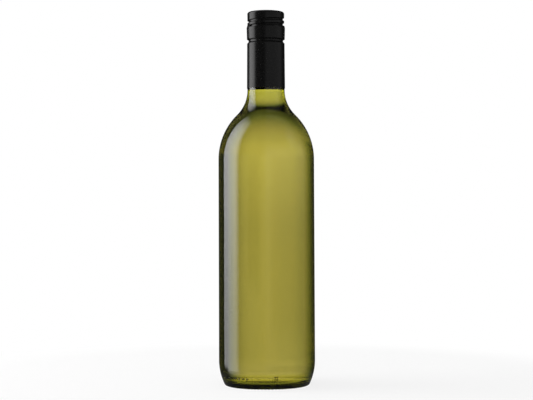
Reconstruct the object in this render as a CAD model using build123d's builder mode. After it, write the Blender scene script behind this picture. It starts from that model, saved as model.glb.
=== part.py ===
from build123d import *
import os
from math import cos, degrees, radians, sin, sqrt

# Screw-capped 75 cl wine bottle, standing on its base. Millimetres, +Z up.
# The origin is the centre of the base, on the surface that the bottle stands on.
# The bottle is a turned form: its outlines are (radius, height) points in the XZ plane.

# ---- glass body ----
body_radius = 37.5           # where the wall meets the heel
body_taper = 0.2             # the wall draws in by this much up to the shoulder
heel_height = 19.5           # the straight wall starts here
shoulder_height = 176.0      # and ends here
heel_radius = 43.0           # long arc that draws the wall in towards the foot
foot_radius = 1.8            # small round between the heel and the bearing ring
shoulder_radius = 48.5       # outer arc of the shoulder
neck_sweep_radius = 27.5     # hollow arc that runs from the shoulder into the neck
neck_radius = 14.5           # neck at the end of that arc
neck_taper = 0.24            # the neck draws in by this much up to the finish

# ---- base ----
bearing_width = 5.2          # flat ring that the bottle stands on
punt_depth = 4.5             # how far the underside rises inside that ring
punt_edge_radius = 1.2       # round between the underside and the flat ring
knurl_count = 76             # notches round the outer edge of the flat ring
knurl_radius = 0.75
knurl_reach = 3.3            # how far they run in from the edge; the rest stays flat all round

# ---- room inside the glass ----
wall = 2.7                   # side wall and shoulder
floor_thickness = 4.2        # at the centre of the base
floor_drop = 6.6             # fall of the floor from its centre to the wall, before rounding
inner_heel_radius = 9.5      # round between the floor and the wall
finish_wall = 3.5            # glass between the bore and the threads
inner_sweep_radius = 33.0    # inside arc from the shoulder into the bore
headspace = 50.0             # from the rim down to the wine

# ---- screw finish of the glass, hidden by the closure ----
groove_depth = 1.13          # groove under the retaining ring
ring_rise = 1.07             # retaining ring, above that groove
ring_height = 3.2
ring_slope = 1.6             # height of the slope above the retaining ring
core_inset = 1.3             # from the retaining ring in to the plain glass between the threads
ridge_radius = 0.7           # half-round thread ridge
ridge_offset = 0.1           # its centre stands this far off the core
ridge_turns = 1.15
rim_round = 1.2
finish_fillet = 0.4

# ---- closure ----
closure_length = 59.8
closure_gap = 1.0            # from the end of the neck's sweep up to the skirt's edge
sheet = 0.25                 # painted aluminium
sheet_fillet = 0.45
top_room = 1.35              # between the glass and the sheet: at the top,
thread_room = 1.2            # at the threads,
belly_room = 0.55            # below the threads,
lip_room = 0.33              # at the cap's lip
tear_room = 0.25             # and at the skirt's upper edge
sheet_clearance = 0.12       # and where the sheet is rolled on to the glass
cap_corner_radius = 1.9
thread_zone_top = 4.6        # heights below the top of the closure
thread_zone_end = 10.3
belly_start = 12.5
tear_depth = 21.3            # the tear line, where the cap ends
tear_height = 0.3            # open slit between cap and skirt
bridge_count = 10            # tabs that join them until the first opening
bridge_width = 1.2
tuck_drop = 0.9              # from the tear line to the sheet's groove
tuck_height = 1.3            # that groove holds the skirt under the retaining ring
skirt_slope = 1.3            # height of the slope below it
thread_pitch = 3.95
thread_turns = 1.65
thread_depth = 1.0
thread_end = 11.5            # lower end of the rolled thread
thread_start_angle = 215.0   # degrees round from the right-hand side, at that end
roller_radius = 1.1          # rounded edge of the roller that forms it

# ---- mould dots, low on the heel ----
dot_radius = 0.75
dot_rise = 0.35
dot_height = 8.1
dot_row_count = 7
dot_row_start = -58.0        # degrees from the front, to the left
dot_row_step = 5.5
block_angle = 11.0           # middle of a small block of dots
block_columns = 2
block_rows = 3
block_pitch = 1.9

os.makedirs("parts", exist_ok=True)


def s_curve(low_radius, low_height, low_arc, high_arc, high_radius):
    """Meeting point and end height of two tangent arcs between two upright walls."""
    across = (high_radius + high_arc) - (low_radius - low_arc)
    rise = sqrt((low_arc + high_arc) ** 2 - across**2)
    share = low_arc / (low_arc + high_arc)
    meeting = (low_radius - low_arc + across * share, low_height + rise * share)
    return meeting, low_height + rise


# radii that follow from the body and the neck
body_radius_high = body_radius - body_taper
neck_radius_high = neck_radius - neck_taper
groove_radius = neck_radius_high - groove_depth
ring_radius = groove_radius + ring_rise
core_radius = ring_radius - core_inset
bore_radius = core_radius - finish_wall
sheet_room = sheet + sheet_clearance
cap_radius_top = core_radius + top_room + sheet
cap_radius_thread = core_radius + thread_room + sheet
cap_radius_belly = ring_radius + belly_room + sheet
cap_radius_lip = ring_radius + lip_room + sheet
skirt_radius_tear = ring_radius + tear_room + sheet
tuck_radius = groove_radius + sheet_room
skirt_radius_top = neck_radius_high + sheet_room
skirt_radius_low = neck_radius + sheet_room

# the shoulder and the neck, outside and inside
shoulder_turn, neck_start = s_curve(
    body_radius_high, shoulder_height, shoulder_radius, neck_sweep_radius, neck_radius
)
inner_turn, bore_start = s_curve(
    body_radius_high - wall, shoulder_height, shoulder_radius - wall, inner_sweep_radius, bore_radius
)

# heights that follow from them
skirt_edge = neck_start + closure_gap
top = skirt_edge + closure_length
rim = top - sheet                             # the glass rim seats in the cap
wine_level = rim - headspace
tear_line = top - tear_depth
skirt_top = tear_line - tear_height
tuck_top = tear_line - tuck_drop
tuck_end = tuck_top - tuck_height
floor_centre = punt_depth + floor_thickness

# the groove in the glass leaves room for the sheet that is tucked into it
groove_top = tuck_top + sheet_room
groove_end = tuck_end - sheet_room
ring_low = groove_top + ring_rise
ring_high = ring_low + ring_height

# the heel arc is centred at heel_height; the round of the foot touches it from inside
heel_centre = body_radius - heel_radius
foot_span = heel_radius - foot_radius
foot_fall = heel_height - foot_radius
bearing_radius = heel_centre + sqrt(foot_span**2 - foot_fall**2)
bearing_inner_radius = bearing_radius - bearing_width
foot_turn = (
    heel_centre + (bearing_radius - heel_centre) * heel_radius / foot_span,
    heel_height - foot_fall * heel_radius / foot_span,
)


def heel_point(height, depth=0.0):
    """Radius and height of a point this far inside the heel's surface."""
    slope = (heel_height - height) / heel_radius
    reach = heel_radius - depth
    return heel_centre + reach * sqrt(1 - slope**2), heel_height - reach * slope


# ---- glass bottle ----
with BuildSketch(Plane.XZ) as glass_outline:
    with BuildLine():
        TangentArc((0, punt_depth), (bearing_inner_radius, 0), tangent=(1, 0))
        Line((bearing_inner_radius, 0), (bearing_radius, 0))
        TangentArc((bearing_radius, 0), foot_turn, tangent=(1, 0))
        TangentArc((body_radius, heel_height), foot_turn, tangent=(0, -1))
        Line((body_radius, heel_height), (body_radius_high, shoulder_height))
        TangentArc((body_radius_high, shoulder_height), shoulder_turn, tangent=(0, 1))
        TangentArc((neck_radius, neck_start), shoulder_turn, tangent=(0, -1))
        FilletPolyline(
            (neck_radius, neck_start),
            (neck_radius_high, groove_end - groove_depth),
            (groove_radius, groove_end),
            (groove_radius, groove_top),
            (ring_radius, ring_low),
            (ring_radius, ring_high),
            (core_radius, ring_high + ring_slope),
            (core_radius, rim),
            (0, rim),
            radius=[finish_fillet] * 6 + [rim_round],
        )
        Line((0, rim), (0, punt_depth))
    make_face()
    fillet(glass_outline.vertices().sort_by_distance((bearing_inner_radius, 0))[0], punt_edge_radius)

with BuildSketch(Plane.XZ) as room_outline:
    with BuildLine():
        TangentArc((0, floor_centre), (body_radius - wall, floor_centre - floor_drop), tangent=(1, 0))
        Line((body_radius - wall, floor_centre - floor_drop), (body_radius_high - wall, shoulder_height))
        TangentArc((body_radius_high - wall, shoulder_height), inner_turn, tangent=(0, 1))
        TangentArc((bore_radius, bore_start), inner_turn, tangent=(0, -1))
        Polyline((bore_radius, bore_start), (bore_radius, rim), (0, rim), (0, floor_centre))
    make_face()
    inner_corner = (body_radius - wall, floor_centre - floor_drop)
    fillet(room_outline.vertices().sort_by_distance(inner_corner)[0], inner_heel_radius)


def wound_rod(path_radius, rod_radius, low, turns):
    """A round rod that winds up round the Z axis from the thread's start, with ball ends."""
    with BuildPart() as rod:
        with BuildLine() as path:
            Helix(thread_pitch, thread_pitch * turns, path_radius)
        with BuildSketch(Plane(path.line @ 0, z_dir=path.line % 0)):
            Circle(rod_radius)
        sweep()
        with Locations(path.line @ 0, path.line @ 1):
            Sphere(rod_radius)
    return rod.part.moved(Location((0, 0, low), (0, 0, thread_start_angle)))


def dot_place(angle, height):
    """Centre of a dot's ball, sunk into the heel; the angle is from the front."""
    radius, level = heel_point(height, dot_radius - dot_rise)
    return radius * sin(radians(angle)), -radius * cos(radians(angle)), level


dot_row = [dot_place(dot_row_start + dot_row_step * i, dot_height) for i in range(dot_row_count)]
block_step = degrees(block_pitch / body_radius)
dot_block = [
    dot_place(
        block_angle + block_step * (column - (block_columns - 1) / 2),
        dot_height + block_pitch * (row - (block_rows - 1) / 2),
    )
    for column in range(block_columns)
    for row in range(block_rows)
]

# the glass thread winds half a pitch above the turns that are rolled into the cap
thread_low = top - thread_end
ridge_low = thread_low + thread_pitch / 2
thread_ridge = wound_rod(core_radius + ridge_offset, ridge_radius, ridge_low, ridge_turns)

# each notch runs out through the foot's round
knurl_length = knurl_reach + foot_turn[0] - bearing_radius + knurl_radius
knurl_middle = bearing_radius - knurl_reach + knurl_length / 2

with BuildPart() as bottle:
    revolve(glass_outline.sketch, axis=Axis.Z)
    revolve(room_outline.sketch, axis=Axis.Z, mode=Mode.SUBTRACT)
    mouth = bottle.edges().group_by(Axis.Z)[-1].sort_by(SortBy.RADIUS)[0]
    fillet(mouth, rim_round)
    add(thread_ridge)
    with PolarLocations(knurl_middle, knurl_count):
        Cylinder(knurl_radius, knurl_length, rotation=(0, 90, 0), mode=Mode.SUBTRACT)
    with Locations(*dot_row, *dot_block):
        Sphere(dot_radius)


# ---- wine: it fills the room in the glass up to its level ----
with BuildPart() as wine:
    revolve(room_outline.sketch, axis=Axis.Z)
    split(bisect_by=Plane.XY.offset(wine_level), keep=Keep.BOTTOM)


# ---- cap: the closure above the tear line ----
def cap_profile():
    """Outer line of the cap, from the middle of its top past its lip."""
    FilletPolyline(
        (0, top),
        (cap_radius_top, top),
        (cap_radius_thread, top - thread_zone_top),
        (cap_radius_thread, top - thread_zone_end),
        (cap_radius_belly, top - belly_start),
        (cap_radius_lip, tear_line),
        (cap_radius_lip, skirt_top),
        radius=[cap_corner_radius] + [sheet_fillet] * 4,
    )


with BuildSketch(Plane.XZ) as cap_form:
    with BuildLine():
        cap_profile()
        Polyline((cap_radius_lip, skirt_top), (0, skirt_top), (0, top))
    make_face()

with BuildSketch(Plane.XZ) as cap_room_outline:
    add(cap_form.sketch_local)
    with BuildLine():
        cap_profile()
        offset(amount=sheet, side=Side.RIGHT)
    make_face(mode=Mode.SUBTRACT)

# the roller presses a round groove into the sheet, which bulges into the room behind it
thread_path_radius = cap_radius_thread - thread_depth + roller_radius
with BuildPart() as cap_room:
    revolve(cap_room_outline.sketch, axis=Axis.Z)
    add(wound_rod(thread_path_radius, roller_radius + sheet, thread_low, thread_turns), mode=Mode.SUBTRACT)

# its outline runs on past the tear line, and the lip is cut off square there
with BuildPart() as cap:
    revolve(cap_form.sketch, axis=Axis.Z)
    add(cap_room.part, mode=Mode.SUBTRACT)
    add(wound_rod(thread_path_radius, roller_radius, thread_low, thread_turns), mode=Mode.SUBTRACT)
    split(bisect_by=Plane.XY.offset(tear_line), keep=Keep.TOP)


# ---- skirt: the rest of the closure, which stays on the neck ----
with BuildSketch(Plane.XZ) as skirt_section:
    with BuildLine():
        FilletPolyline(
            (skirt_radius_tear, skirt_top),
            (tuck_radius, tuck_top),
            (tuck_radius, tuck_end),
            (skirt_radius_top, tuck_end - skirt_slope),
            (skirt_radius_low, skirt_edge),
            radius=sheet_fillet,
        )
        offset(amount=sheet, side=Side.RIGHT)
    make_face()

with BuildPart() as skirt:
    revolve(skirt_section.sketch, axis=Axis.Z)
    with Locations((0, 0, skirt_top + tear_height / 2)):
        with PolarLocations(skirt_radius_tear - sheet / 2, bridge_count):
            Box(sheet, bridge_width, tear_height)


for name, piece in (("bottle", bottle), ("wine", wine), ("cap", cap), ("skirt", skirt)):
    piece.part.label = name
    export_step(piece.part, f"parts/{name}.step")
    print(f"{name}: {len(piece.part.solids())} solid, {piece.part.volume / 1000:.2f} ml")
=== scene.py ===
import bpy
from math import atan2, cos, pi, radians, sin, sqrt, tau
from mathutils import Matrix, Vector


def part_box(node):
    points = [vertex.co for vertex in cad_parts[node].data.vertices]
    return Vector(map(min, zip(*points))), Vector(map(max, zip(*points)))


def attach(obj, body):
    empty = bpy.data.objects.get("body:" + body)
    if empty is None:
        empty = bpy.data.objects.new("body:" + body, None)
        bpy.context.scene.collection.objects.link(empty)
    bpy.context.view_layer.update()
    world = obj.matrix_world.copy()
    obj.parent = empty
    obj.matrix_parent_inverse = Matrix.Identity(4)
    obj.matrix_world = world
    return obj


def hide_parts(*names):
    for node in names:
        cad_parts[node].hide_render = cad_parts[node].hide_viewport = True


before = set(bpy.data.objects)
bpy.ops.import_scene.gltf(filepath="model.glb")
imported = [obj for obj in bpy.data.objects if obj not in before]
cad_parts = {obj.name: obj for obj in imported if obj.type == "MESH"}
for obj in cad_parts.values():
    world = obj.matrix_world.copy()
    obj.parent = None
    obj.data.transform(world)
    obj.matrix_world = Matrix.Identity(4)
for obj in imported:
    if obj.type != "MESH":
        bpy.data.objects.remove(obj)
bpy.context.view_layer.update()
print("frame loaded:", ", ".join(sorted(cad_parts)))

mm = 0.001
plainWhite = (1.0, 1.0, 1.0, 1.0)
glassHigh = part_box("bottle")[1]
bodyRadius = glassHigh.x
rimHeight = glassHigh.z
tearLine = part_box("skirt")[1].z
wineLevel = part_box("wine")[1].z


class Link:
    # an output socket that can be used in sums, and the one way to add a node
    def __init__(self, tree, out=None):
        self.tree = tree
        self.out = out

    def put(self, socket, value):
        if isinstance(value, Link):
            self.tree.links.new(value.out, socket)
        else:
            socket.default_value = value

    def node(self, kind, settings=None, values=None, output=0):
        made = self.tree.nodes.new("ShaderNode" + kind)
        for name, value in (settings or {}).items():
            setattr(made, name, value)
        for name, value in (values or {}).items():
            self.put(made.inputs[name], value)
        return Link(self.tree, made.outputs[output])

    def maths(self, operation, first, second=0.0):
        return self.node("Math", {"operation": operation}, {0: first, 1: second})

    def rise(self, low, high):
        # 0 below low and 1 above high, with soft ends
        return self.node("MapRange", {"interpolation_type": "SMOOTHSTEP"},
                         {"Value": self, "From Min": low, "From Max": high})

    def axes(self):
        return [self.node("SeparateXYZ", None, {0: self}, output=i) for i in range(3)]

    # the first where this is 0, the second where it is 1
    def mixColours(self, first, second):
        return self.node("Mix", {"data_type": "RGBA"}, {"Factor": self, 6: first, 7: second}, output=2)

    def mixShaders(self, first, second):
        return self.node("MixShader", None, {"Fac": self, 1: first, 2: second})

    def __add__(self, other):
        return self.maths("ADD", self, other)

    def __radd__(self, other):
        return self.maths("ADD", other, self)

    def __sub__(self, other):
        return self.maths("SUBTRACT", self, other)

    def __rsub__(self, other):
        return self.maths("SUBTRACT", other, self)

    def __mul__(self, other):
        return self.maths("MULTIPLY", self, other)

    def __rmul__(self, other):
        return self.maths("MULTIPLY", other, self)


def newMaterial(name):
    material = bpy.data.materials.new(name)
    material.use_nodes = True
    material.node_tree.nodes.clear()
    return material, Link(material.node_tree)


def finishMaterial(nodes, surface, volume=None):
    output = nodes.tree.nodes.new("ShaderNodeOutputMaterial")
    nodes.put(output.inputs["Surface"], surface)
    if volume is not None:
        nodes.put(output.inputs["Volume"], volume)


def dress(piece, material):
    piece.data.materials.clear()
    piece.data.materials.append(material)


# camera: level, a little over a metre in front of the bottle
cameraValues = {
    "distance": 1.0762,
    "height": 144.2 * mm,
    "lens": 93.0,
    "roll": radians(0.22),
    "sideShift": 0.0001,
}


def addCamera(v):
    bpy.ops.object.camera_add(
        location=(0, -v["distance"], v["height"]),
        rotation=(radians(90), v["roll"], 0),
    )
    camera = bpy.context.object
    camera.name = "frontCamera"
    camera.data.lens = v["lens"]
    camera.data.shift_x = v["sideShift"]
    bpy.context.scene.camera = camera


addCamera(cameraValues)
print("camera placed")


smoothAngle = radians(40)
weldDistance = 0.002 * mm
nearDistance = 0.01 * mm


# turning: an outline is drawn as one open line in the XZ plane, then spun round Z
def startOutline(name, point):
    # the line begins as a tiny plane merged to its middle
    bpy.ops.object.select_all(action="DESELECT")
    bpy.ops.mesh.primitive_plane_add(size=mm, location=(point[0], 0, point[1]))
    bpy.ops.object.transform_apply(location=True)
    piece = bpy.context.object
    piece.name = name
    piece.data.name = name
    bpy.ops.object.mode_set(mode="EDIT")
    bpy.ops.mesh.select_mode(type="VERT")
    bpy.ops.mesh.select_all(action="SELECT")
    bpy.ops.mesh.merge(type="CENTER")
    return piece


def drawOutline(point, moves):
    # a move is the next point, or (centre, end, steps) for an arc about a centre
    for move in moves:
        if len(move) == 2:
            step = (move[0] - point[0], 0, move[1] - point[1])
            bpy.ops.mesh.extrude_vertices_move(TRANSFORM_OT_translate={"value": step})
            point = move
        else:
            centre, end, steps = move
            first = atan2(point[1] - centre[1], point[0] - centre[0])
            last = atan2(end[1] - centre[1], end[0] - centre[0])
            turn = (last - first + pi) % tau - pi
            middle = (centre[0], 0, centre[1])
            bpy.ops.mesh.spin(steps=steps, angle=turn, center=middle, axis=(0, 1, 0))
            point = end


def turnOutline(columns):
    bpy.ops.mesh.select_all(action="SELECT")
    bpy.ops.mesh.spin(steps=columns, angle=tau, center=(0, 0, 0), axis=(0, 0, 1))
    bpy.ops.mesh.select_all(action="SELECT")
    bpy.ops.mesh.remove_doubles(threshold=weldDistance)
    bpy.ops.mesh.normals_make_consistent(inside=False)
    bpy.ops.object.mode_set(mode="OBJECT")


def meeting(low, lowArc, highArc, highRadius):
    # where two arcs meet that join two upright walls, and the height where the upper one ends
    across = (highRadius + highArc) - (low[0] - lowArc)
    rise = sqrt((lowArc + highArc) ** 2 - across ** 2)
    share = lowArc / (lowArc + highArc)
    return (low[0] - lowArc + across * share, low[1] + rise * share), low[1] + rise


def selectPoints(piece, wanted):
    bpy.ops.object.mode_set(mode="OBJECT")
    for polygon in piece.data.polygons:
        polygon.select = False
    for edge in piece.data.edges:
        edge.select = False
    for vertex in piece.data.vertices:
        vertex.select = wanted(vertex.co)
    bpy.ops.object.mode_set(mode="EDIT")


# glass bottle, a finer copy of the turned form in the frame
bottleValues = {
    "taper": 0.2 * mm,
    "heelHeight": 19.5 * mm,
    "shoulderHeight": 176.0 * mm,
    "heelRadius": 43.0 * mm,
    "footRadius": 1.8 * mm,
    "shoulderRadius": 48.5 * mm,
    "sweepRadius": 27.5 * mm,
    "neckRadius": 14.5 * mm,
    "neckRadiusHigh": 14.26 * mm,
    "bearingWidth": 5.2 * mm,
    "bearingEdge": 1.04 * mm,    # outer part of the bearing ring
    "notchReach": 3.3 * mm,
    "notchEdge": 0.05 * mm,      # half the width of the slope at a notch's inner end
    "puntDepth": 4.5 * mm,
    "puntEdge": 0.216 * mm,
    "wall": 2.7 * mm,
    "floorThickness": 2.8 * mm,
    "floorDrop": 5.2 * mm,
    "innerHeelRadius": 9.5 * mm,
    "innerSweepRadius": 33.0 * mm,
    "boreRadius": 9.4 * mm,
    "grooveRadius": 13.13 * mm,
    "ringRadius": 14.2 * mm,
    "coreRadius": 12.9 * mm,
    "slopeStart": -3.7 * mm,     # these heights are from the tear line of the closure
    "grooveLow": -2.57 * mm,
    "grooveHigh": -0.53 * mm,
    "ringLow": 0.54 * mm,
    "ringHigh": 3.74 * mm,
    "coreLow": 5.34 * mm,
    "rimRound": 1.2 * mm,
    "columns": 304,              # four to each notch under the foot
    "floorSteps": 16,            # steps of each arc
    "innerHeelSteps": 16,
    "innerShoulderSteps": 40,
    "sweepSteps": 32,
    "puntSteps": 24,
    "puntEdgeSteps": 5,
    "footSteps": 8,
    "heelSteps": 20,
    "shoulderSteps": 44,
    "rimSteps": 6,
}
notchValues = {
    "columnsEach": 4,
    "innerRadius": 28.4 * mm,
    "outerRadius": 33.6 * mm,
    "depth": 0.95 * mm,
    "flankDepth": 0.42 * mm,
}
dotValues = {
    "radius": 0.75 * mm,
    "rise": 0.65 * mm,
    "height": 8.1 * mm,
    "rowCount": 7,
    "rowStart": radians(-58.0),
    "rowStep": radians(5.5),
    "blockAngle": radians(11.0),
    "blockColumns": 2,
    "blockRows": 3,
    "blockPitch": 1.9 * mm,
    "subdivisions": 3,
}


def roomMoves(v, grow):
    # the room in the glass, from the middle of its floor to the bore
    # grow widens it into the wall
    wallRadius = bodyRadius - v["wall"]
    floorCentre = v["puntDepth"] + v["floorThickness"]
    floorRadius = (wallRadius ** 2 + v["floorDrop"] ** 2) / (2 * v["floorDrop"])
    floorMiddle = (0, floorCentre - floorRadius)
    reach = floorRadius + v["innerHeelRadius"]
    heelX = wallRadius - v["innerHeelRadius"]
    heelMiddle = (heelX, floorMiddle[1] + sqrt(reach ** 2 - heelX ** 2))
    share = (floorRadius - grow) / reach
    heelLow = (heelX * share, floorMiddle[1] + (heelMiddle[1] - floorMiddle[1]) * share)
    heelHigh = (wallRadius + grow, heelMiddle[1])
    shoulderX = wallRadius - v["taper"]
    shoulderArc = v["shoulderRadius"] - v["wall"]
    turn, boreStart = meeting(
        (shoulderX, v["shoulderHeight"]), shoulderArc, v["innerSweepRadius"], v["boreRadius"])
    shoulderMiddle = (shoulderX - shoulderArc, v["shoulderHeight"])
    sweepMiddle = (v["boreRadius"] + v["innerSweepRadius"], boreStart)
    outward = (Vector(turn) - Vector(shoulderMiddle)).normalized() * grow
    start = (0, floorCentre - grow)
    moves = [
        (floorMiddle, heelLow, v["floorSteps"]),
        (heelMiddle, heelHigh, v["innerHeelSteps"]),
        (shoulderX + grow, v["shoulderHeight"]),
        (shoulderMiddle, (turn[0] + outward.x, turn[1] + outward.y), v["innerShoulderSteps"]),
        (sweepMiddle, (v["boreRadius"] + grow, boreStart), v["sweepSteps"]),
    ]
    return start, moves


def makeBottle(v):
    highRadius = bodyRadius - v["taper"]
    turn, neckStart = meeting(
        (highRadius, v["shoulderHeight"]), v["shoulderRadius"], v["sweepRadius"], v["neckRadius"])
    heelMiddle = (bodyRadius - v["heelRadius"], v["heelHeight"])
    span = v["heelRadius"] - v["footRadius"]
    fall = v["heelHeight"] - v["footRadius"]
    bearing = heelMiddle[0] + sqrt(span ** 2 - fall ** 2)
    footTurn = (heelMiddle[0] + (bearing - heelMiddle[0]) * v["heelRadius"] / span,
                v["heelHeight"] - fall * v["heelRadius"] / span)
    bearingInner = bearing - v["bearingWidth"]
    puntRadius = (bearingInner ** 2 + v["puntDepth"] ** 2) / (2 * v["puntDepth"])
    notchEnd = bearing - v["notchReach"]
    shoulderMiddle = (highRadius - v["shoulderRadius"], v["shoulderHeight"])
    sweepMiddle = (v["neckRadius"] + v["sweepRadius"], neckStart)
    rimLow = rimHeight - v["rimRound"]
    rimOuter = v["coreRadius"] - v["rimRound"]
    rimInner = v["boreRadius"] + v["rimRound"]
    start = (0, v["puntDepth"])
    roomStart, room = roomMoves(v, 0.0)
    moves = [
        ((0, v["puntDepth"] - puntRadius), (bearingInner, 0), v["puntSteps"]),
        (notchEnd - v["notchEdge"], 0),
        (notchEnd + v["notchEdge"], 0),
        (bearing - v["bearingEdge"], 0),
        (bearing, 0),
        ((bearing, v["footRadius"]), footTurn, v["footSteps"]),
        (heelMiddle, (bodyRadius, v["heelHeight"]), v["heelSteps"]),
        (highRadius, v["shoulderHeight"]),
        (shoulderMiddle, turn, v["shoulderSteps"]),
        (sweepMiddle, (v["neckRadius"], neckStart), v["sweepSteps"]),
        (v["neckRadiusHigh"], tearLine + v["slopeStart"]),
        (v["grooveRadius"], tearLine + v["grooveLow"]),
        (v["grooveRadius"], tearLine + v["grooveHigh"]),
        (v["ringRadius"], tearLine + v["ringLow"]),
        (v["ringRadius"], tearLine + v["ringHigh"]),
        (v["coreRadius"], tearLine + v["coreLow"]),
        (v["coreRadius"], rimLow),
        ((rimOuter, rimLow), (rimOuter, rimHeight), v["rimSteps"]),
        (rimInner, rimHeight),
        ((rimInner, rimLow), (v["boreRadius"], rimLow), v["rimSteps"]),
        (v["boreRadius"], wineLevel),
    ]
    # back down the inside, arc by arc
    points = [roomStart] + [move[1] if len(move) == 3 else move for move in room]
    moves.append(points[-1])
    for i in range(len(room) - 1, -1, -1):
        if len(room[i]) == 3:
            moves.append((room[i][0], points[i], room[i][2]))
        else:
            moves.append(points[i])
    piece = startOutline("glassBottle", start)
    drawOutline(start, moves)
    # the sharp inner corner of the bearing ring is rounded
    corner = Vector((bearingInner, 0, 0))
    selectPoints(piece, lambda co: (co - corner).length < nearDistance)
    bpy.ops.mesh.bevel(affect="VERTICES", offset=v["puntEdge"], segments=v["puntEdgeSteps"])
    turnOutline(v["columns"])
    return piece


def cutNotches(piece, v, columns):
    # every fourth column of the foot is lifted, and its neighbours about half as far
    def lift(offset, height):
        def wanted(co):
            column = round((atan2(co.y, co.x) % tau) / (tau / columns)) + offset
            distance = sqrt(co.x ** 2 + co.y ** 2)
            inside = v["innerRadius"] < distance < v["outerRadius"] and co.z < height
            return inside and column % v["columnsEach"] == 0
        selectPoints(piece, wanted)
        bpy.ops.transform.resize(value=(1, 1, 0), center_override=(0, 0, height))
        bpy.ops.object.mode_set(mode="OBJECT")

    lift(0, v["depth"])
    lift(1, v["flankDepth"])
    lift(-1, v["flankDepth"])


def addDots(piece, v, bottle):
    def place(angle, height):
        # centre of a dot's ball, sunk into the heel
        reach = bottle["heelRadius"] - (v["radius"] - v["rise"])
        slope = (bottle["heelHeight"] - height) / bottle["heelRadius"]
        radius = bodyRadius - bottle["heelRadius"] + reach * sqrt(1 - slope ** 2)
        return radius * sin(angle), -radius * cos(angle), bottle["heelHeight"] - reach * slope

    places = [place(v["rowStart"] + v["rowStep"] * i, v["height"]) for i in range(v["rowCount"])]
    angleStep = v["blockPitch"] / bodyRadius
    for column in range(v["blockColumns"]):
        for row in range(v["blockRows"]):
            angle = v["blockAngle"] + angleStep * (column - (v["blockColumns"] - 1) / 2)
            height = v["height"] + v["blockPitch"] * (row - (v["blockRows"] - 1) / 2)
            places.append(place(angle, height))
    bpy.ops.object.select_all(action="DESELECT")
    dots = []
    for spot in places:
        bpy.ops.mesh.primitive_ico_sphere_add(
            subdivisions=v["subdivisions"], radius=v["radius"], location=spot)
        dots.append(bpy.context.object)
    for dot in dots:
        dot.select_set(True)
    bpy.ops.object.join()
    cutter = bpy.context.object
    union = piece.modifiers.new("dots", "BOOLEAN")
    union.operation = "UNION"
    union.solver = "EXACT"
    union.object = cutter
    bpy.ops.object.select_all(action="DESELECT")
    bpy.context.view_layer.objects.active = piece
    piece.select_set(True)
    bpy.ops.object.modifier_apply(modifier=union.name)
    bpy.data.objects.remove(cutter)


def smooth(piece):
    bpy.ops.object.select_all(action="DESELECT")
    bpy.context.view_layer.objects.active = piece
    piece.select_set(True)
    bpy.ops.object.shade_smooth_by_angle(angle=smoothAngle)


glassBottle = makeBottle(bottleValues)
cutNotches(glassBottle, notchValues, bottleValues["columns"])
addDots(glassBottle, dotValues, bottleValues)
smooth(glassBottle)
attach(glassBottle, "root")
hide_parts("bottle")
print("glass bottle:", len(glassBottle.data.polygons), "faces")


# wine, grown a little into the wall so that no air shows between them
wineValues = {"grow": 0.08 * mm, "columns": 304}


def makeWine(v):
    start, moves = roomMoves(bottleValues, v["grow"])
    piece = startOutline("wineFill", start)
    boreRadius = bottleValues["boreRadius"] + v["grow"]
    drawOutline(start, moves + [(boreRadius, wineLevel), (0, wineLevel)])
    turnOutline(v["columns"])
    smooth(piece)
    return piece


wineFill = makeWine(wineValues)
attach(wineFill, "root")
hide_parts("wine")
print("wine:", len(wineFill.data.polygons), "faces")


# clear glass and wine, tinted by their depth
glassFinish = {
    "ior": 1.5,
    "roughness": 0.0,
    "tint": (0.786, 0.793, 0.036, 1.0),
    "density": 280.0,
    "waveSize": 60.0,                     # faint waviness of blown glass
    "waveDepth": 0.02 * mm,
    # painted shade: the clear glass of the dots is darkened in colour to stand in for the shade they
    # show
    "dotShadeColour": (0.10, 0.08, 0.03, 1.0),
    "dotRise": (0.02 * mm, 0.10 * mm),    # glass that stands this far off the heel is a dot
    "dotTop": (12.0 * mm, 14.0 * mm),     # and there are none above this height
    "dotRoughness": 0.4,
}
wineFinish = {
    "ior": 1.34,
    "roughness": 0.0,
    "tint": (0.842, 0.739, 0.059, 1.0),
    "density": 16.0,
}


def length(first, second):
    square = first * first + second * second
    return square.maths("SQRT", square)


def finishClear(material, nodes, v, varied):
    values = {"Roughness": v["roughness"], "IOR": v["ior"], "Transmission Weight": 1.0, **varied}
    surface = nodes.node("BsdfPrincipled", None, values)
    volume = nodes.node("VolumeAbsorption", None, {"Color": v["tint"], "Density": v["density"]})
    finishMaterial(nodes, surface, volume)
    return material


def makeGlass(v):
    material, nodes = newMaterial("greenGlass")
    places = nodes.node("TexCoord", output="Object")
    waves = nodes.node("TexNoise", None, {"Vector": places, "Scale": v["waveSize"], "Detail": 1.0})
    normal = nodes.node("Bump", None, {"Height": waves, "Distance": v["waveDepth"], "Strength": 1.0})
    x, y, z = places.axes()
    # how far a place stands off the arc of the heel
    across = length(x, y) - (bodyRadius - bottleValues["heelRadius"])
    off = length(across, z - bottleValues["heelHeight"]) - bottleValues["heelRadius"]
    raised = off.rise(*v["dotRise"]) * (1 - z.rise(*v["dotTop"]))
    # painted shade: the raised dots get a dark base colour, though they are the same clear glass as
    # the rest
    colour = raised.mixColours(plainWhite, v["dotShadeColour"])
    roughness = v["roughness"] + v["dotRoughness"] * raised
    varied = {"Base Color": colour, "Roughness": roughness, "Normal": normal}
    return finishClear(material, nodes, v, varied)


def makeWineFinish(v):
    material, nodes = newMaterial("whiteWine")
    return finishClear(material, nodes, v, {"Base Color": plainWhite})


dress(glassBottle, makeGlass(glassFinish))
dress(wineFill, makeWineFinish(wineFinish))
print("glass and wine finished")


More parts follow.
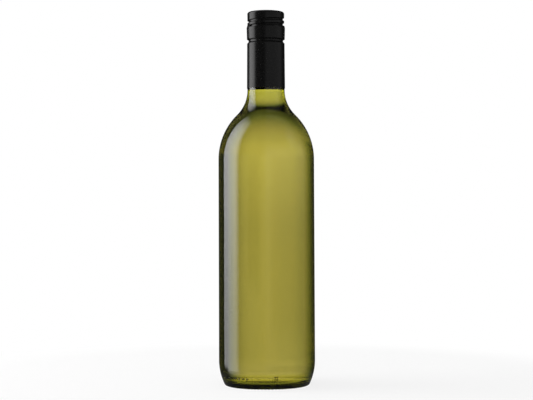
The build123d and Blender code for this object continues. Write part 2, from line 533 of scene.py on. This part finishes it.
# closure: black satin lacquer on rolled aluminium
lacquerValues = {
    "colour": (0.004, 0.004, 0.004, 1.0),
    "worn": (0.008, 0.0078, 0.0075, 1.0),
    "ior": 1.38,
    "specular": 0.32,
    "roughness": 0.22,
    "roughnessRange": 0.05,
    "mottleSize": 900.0,
    "wornRise": (0.35, 0.75),
    "grainSize": 5200.0,
    "grainDepth": 0.001 * mm,
}


def makeLacquer(v):
    material, nodes = newMaterial("blackLacquer")
    places = nodes.node("TexCoord", output="Object")
    mottle = nodes.node("TexNoise", None, {"Vector": places, "Scale": v["mottleSize"], "Detail": 3.0})
    grain = nodes.node("TexNoise", None, {"Vector": places, "Scale": v["grainSize"], "Detail": 2.0})
    colour = mottle.rise(*v["wornRise"]).mixColours(v["colour"], v["worn"])
    roughness = v["roughness"] + v["roughnessRange"] * (mottle - 0.5)
    normal = nodes.node("Bump", None, {"Height": grain, "Distance": v["grainDepth"], "Strength": 1.0})
    surface = nodes.node("BsdfPrincipled", None, {
        "Base Color": colour,
        "Roughness": roughness,
        "IOR": v["ior"],
        "Specular IOR Level": v["specular"],
        "Normal": normal,
    })
    finishMaterial(nodes, surface)
    return material


lacquer = makeLacquer(lacquerValues)
for nodeName in ("cap", "skirt"):
    dress(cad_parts[nodeName], lacquer)
print("closure finished")


# floor: a pale disc that fades into the white round it and keeps the bottle's shadow
floorValues = {
    "radius": 0.34,
    "corners": 128,
    "shade": 0.9,
    "shadowShare": 0.2,
    "footEdge": (0.031, 0.035),      # under the foot the floor stays white
    "fade": (0.24, 0.33),
    "mirrorLevel": 0.1,
    "mirrorFade": (0.045, 0.085),    # further out than this the glass doesn't mirror the floor
}


def makeFloor(v):
    bpy.ops.object.select_all(action="DESELECT")
    bpy.ops.mesh.primitive_circle_add(vertices=v["corners"], radius=v["radius"], fill_type="NGON")
    floor = bpy.context.object
    floor.name = "floor"
    material, nodes = newMaterial("paleFloor")
    seen = nodes.node("LightPath", output="Is Camera Ray")
    through = nodes.node("LightPath", output="Is Transmission Ray")
    mirrored = nodes.node("LightPath", output="Is Glossy Ray") * (1 - through)
    places = nodes.node("TexCoord", output="Object")
    distance = nodes.node("VectorMath", {"operation": "LENGTH"}, {0: places}, output="Value")
    share = v["shadowShare"] * distance.rise(*v["footEdge"]) * (1 - distance.rise(*v["fade"]))
    plain = nodes.node("BsdfDiffuse", None, {"Color": (v["shade"],) * 3 + (1.0,)})
    white = nodes.node("Emission", None, {"Strength": 1.0})
    dim = nodes.node("Emission", None, {"Strength": v["mirrorLevel"]})
    clear = nodes.node("BsdfTransparent")
    toCamera = share.mixShaders(white, plain)
    toMirrors = distance.rise(*v["mirrorFade"]).mixShaders(dim, clear)
    shown = seen.mixShaders(plain, toCamera)
    shown = mirrored.mixShaders(shown, toMirrors)
    finishMaterial(nodes, through.mixShaders(shown, clear))
    dress(floor, material)


makeFloor(floorValues)
print("floor laid")


# world: white all round for the camera, and a studio for what glass and lacquer show
worldValues = {
    "plainLevel": 0.6,
    "sideLevel": 0.62,                     # seen through the glass at the sides
    "behindLow": 0.15,                     # straight behind: dim towards the table,
    "behindHigh": 0.83,                    # bright level with the bottle,
    "behindTop": 0.35,                     # and a little more above it
    "behindRise": (-0.56, -0.03),
    "topRise": (0.04, 0.14),
    "topFall": (0.45, 0.75),
    "footGlow": 0.4,                       # higher up, which the thick foot of the glass shows
    "footGlowRise": (0.14, 0.24),
    "overhead": (0.60, 0.74),              # above this it is dim
    "overheadShare": 0.8,
    "behindRight": (22, 40),               # in degrees from straight behind
    "behindLeft": (30, 52),
    "darkShare": 0.97,                     # of the dark sides that draw the edges of the glass
    "darkRight": (8, 35, 64, 82),
    "darkLeft": (10, 58, 64, 74),
    "darkFrontRight": (66, 84, 160, 178),
    "darkFrontLeft": (128, 138, 155, 172),
    "levelBand": (0.16, 0.26),
    "frontBandRight": (0.13, 0.19),
    "frontBandLeft": (0.08, 0.12),
    "slopeShare": 0.35,
    "frontRight": (85, 100),               # from these angles to the front it is dark,
    "frontLeft": (100, 115),
    "frontHigh": (0.08, 0.2),              # above this
    "frontLow": (0.54, 0.68),              # and below this
    "steepLow": (0.6, 0.8),
    "steepHigh": (0.2, 0.4),
    "aboveDark": 0.7,
    "coolLight": (0.90, 1.05, 1.0, 1.0),   # dim light is cooler than bright light
    "warmLight": (1.03, 0.975, 1.0, 1.0),
    "warmRise": (0.1, 0.55),
    "mirrorLow": 0.02,                     # what glass and lacquer mirror on the left,
    "mirrorRight": 0.16,                   # on the right,
    "mirrorUpper": 0.42,                   # and more of it just above the level
    "mirrorSpan": (-12, 6, 88, 122),
    "mirrorBand": (-0.06, 0.08, 0.16, 0.55),
}


def makeWorld(v):
    world = bpy.data.worlds.new("studio")
    bpy.context.scene.world = world
    world.use_nodes = True
    world.node_tree.nodes.clear()
    nodes = Link(world.node_tree)
    seen = nodes.node("LightPath", output="Is Camera Ray")
    glossy = nodes.node("LightPath", output="Is Glossy Ray")
    through = nodes.node("LightPath", output="Is Transmission Ray")
    x, y, z = nodes.node("TexCoord", output="Generated").axes()
    side = x.maths("ARCTAN2", x, y)              # 0 behind the bottle, rising to the right
    other = 0 - side

    def past(angle, start, full):
        return angle.rise(radians(start), radians(full))

    def span(angle, start, full, fading, end):
        return past(angle, start, full) * (1 - past(angle, fading, end))

    def most(first, second):
        return first.maths("MAXIMUM", first, second)

    below = 0 - z
    slope = z.maths("ABSOLUTE", z)
    behind = (1 - past(side, *v["behindRight"])) * (1 - past(other, *v["behindLeft"]))
    behindLevel = v["behindLow"] + (v["behindHigh"] - v["behindLow"]) * z.rise(*v["behindRise"])
    top = v["behindTop"] * z.rise(*v["topRise"]) + v["footGlow"] * z.rise(*v["footGlowRise"])
    behindLevel = behindLevel + top * (1 - z.rise(*v["topFall"]))
    behindLevel = behindLevel * (1 - v["overheadShare"] * z.rise(*v["overhead"]))
    level = v["sideLevel"] + behind * (behindLevel - v["sideLevel"])
    band = 1 - (1 - v["slopeShare"]) * slope.rise(*v["levelBand"])
    dark = most(span(side, *v["darkRight"]), span(other, *v["darkLeft"]) * band)
    dark = most(dark, span(side, *v["darkFrontRight"]) * (1 - slope.rise(*v["frontBandRight"])))
    dark = most(dark, span(other, *v["darkFrontLeft"]) * (1 - slope.rise(*v["frontBandLeft"])))
    front = past(side, *v["frontRight"]) + past(other, *v["frontLeft"])
    front = front * most(z.rise(*v["frontHigh"]), below.rise(*v["frontLow"]))
    steep = most(below.rise(*v["steepLow"]), z.rise(*v["steepHigh"]) * v["aboveDark"])
    dark = most(dark, most(steep * (1 - behind), front))
    level = level * (1 - v["darkShare"] * dark)
    tint = level.rise(*v["warmRise"]).mixColours(v["coolLight"], v["warmLight"])
    tint = through.mixColours(plainWhite, tint)
    fromFront = x.maths("ARCTAN2", x, 0 - y)     # 0 in front of the bottle, rising to the right
    bandLow, bandFull, bandFading, bandEnd = v["mirrorBand"]
    upper = z.rise(bandLow, bandFull) * (1 - z.rise(bandFading, bandEnd))
    rightLevel = v["mirrorRight"] + v["mirrorUpper"] * upper - v["mirrorLow"]
    mirrorLevel = v["mirrorLow"] + rightLevel * span(fromFront, *v["mirrorSpan"])
    mirrored = glossy * (1 - through)
    rest = (1 - seen) * (1 - glossy) * (1 - through)
    strength = seen + (1 - seen) * (through * level + mirrored * mirrorLevel) + rest * v["plainLevel"]
    background = nodes.node("Background", None, {"Color": tint, "Strength": strength})
    output = world.node_tree.nodes.new("ShaderNodeOutputWorld")
    nodes.put(output.inputs["Surface"], background)


# a veil just behind the bottle: the body shows what is behind it dimmer than the shoulder does
veilValues = {
    "distance": 0.1,
    "width": 0.3,
    "bottom": -0.06,
    "top": 0.36,
    "shade": 0.73,
    "foot": (-0.004, 0.010),
    "upper": (0.115, 0.200),
    "sides": (0.06, 0.12),
}


def addPanel(name, middle, turn, size):
    bpy.ops.mesh.primitive_plane_add(size=1.0, location=middle, rotation=turn)
    panel = bpy.context.object
    panel.scale = (size[0], size[1], 1)
    bpy.ops.object.transform_apply(location=True, rotation=True, scale=True)
    panel.name = name
    return panel


def makeVeil(v):
    middle = (0, v["distance"], (v["bottom"] + v["top"]) / 2)
    veil = addPanel("veil", middle, (radians(90), 0, 0), (v["width"], v["top"] - v["bottom"]))
    material, nodes = newMaterial("paleVeil")
    through = nodes.node("LightPath", output="Is Transmission Ray")
    x, z = nodes.node("TexCoord", output="Object").axes()[::2]
    share = through * (z.rise(*v["foot"]) - z.rise(*v["upper"]))
    share = share * (1 - x.maths("ABSOLUTE", x).rise(*v["sides"]))
    clear = nodes.node("BsdfTransparent")
    dim = nodes.node("BsdfTransparent", None, {"Color": (v["shade"],) * 3 + (1.0,)})
    finishMaterial(nodes, share.mixShaders(clear, dim))
    dress(veil, material)


# soft boxes at the sides, which only glass and lacquer mirror; each fades at its ends
softBoxValues = {
    "leftBox": {
        "x": -0.62,
        "level": 5.2,
        "across": (-0.30, -0.09, 0.33, 0.40),    # starts, full, fading, ends along Y
        "along": (-0.70, -0.05, 0.50, 1.45),     # the same up Z
        "slant": (0.05, 0.33, 0.35),             # dimmer towards the back
        "lift": (-0.05, 0.22, 0.36),             # dimmer towards the table
        "back": (0.10, 0.28),                    # from here to the back it has no light
        "backLow": (-0.17, -0.06),               # below this height
    },
    "rightBox": {
        "x": 0.62,
        "level": 0.6,
        "across": (-0.50, -0.30, -0.20, 0.05),
        "along": (0.20, 0.40, 0.60, 1.00),
        "slant": (0.05, 0.33, 0.0),
        "lift": (-0.05, 0.22, 0.0),
        "back": (0.10, 0.28),
        "backLow": (-0.14, -0.04),
    },
}


def makeSoftBox(name, v):
    near, far = v["across"][0], v["across"][3]
    low, high = v["along"][0], v["along"][3]
    middle = (v["x"], (near + far) / 2, (low + high) / 2)
    box = addPanel(name, middle, (0, radians(90), 0), (high - low, far - near))
    material, nodes = newMaterial(name + "Light")
    glossy = nodes.node("LightPath", output="Is Glossy Ray")
    through = nodes.node("LightPath", output="Is Transmission Ray")
    y, z = nodes.node("TexCoord", output="Object").axes()[1:]
    share = glossy * (1 - through)
    share = share * y.rise(*v["across"][:2]) * (1 - y.rise(*v["across"][2:]))
    share = share * z.rise(*v["along"][:2]) * (1 - z.rise(*v["along"][2:]))
    share = share * (1 - v["slant"][2] * y.rise(*v["slant"][:2]))
    share = share * (1 - y.rise(*v["back"]) * (1 - z.rise(*v["backLow"])))
    share = share * (1 - v["lift"][2] * (1 - z.rise(*v["lift"][:2])))
    lit = nodes.node("Emission", None, {"Strength": v["level"]})
    clear = nodes.node("BsdfTransparent")
    finishMaterial(nodes, share.mixShaders(clear, lit))
    dress(box, material)


# one large lamp for the floor and its shadow
lampValues = {
    "place": (-0.62, 0.05, 0.55),
    "turn": radians(-90),        # level, facing the bottle
    "size": (1.2, 0.6),
    "level": 3.8,
}


def addLamp(name, v):
    bpy.ops.object.light_add(type="AREA", location=v["place"])
    lamp = bpy.context.object
    lamp.name = name
    lamp.data.shape = "RECTANGLE"
    lamp.data.size, lamp.data.size_y = v["size"]
    lamp.data.energy = v["level"] * pi * v["size"][0] * v["size"][1]
    lamp.rotation_euler = (0, v["turn"], 0)
    lamp.visible_transmission = False
    lamp.visible_glossy = False


makeWorld(worldValues)
makeVeil(veilValues)
for boxName, boxValues in softBoxValues.items():
    makeSoftBox(boxName, boxValues)
addLamp("sideLamp", lampValues)
bpy.context.scene.view_settings.view_transform = "Standard"
print("light set")
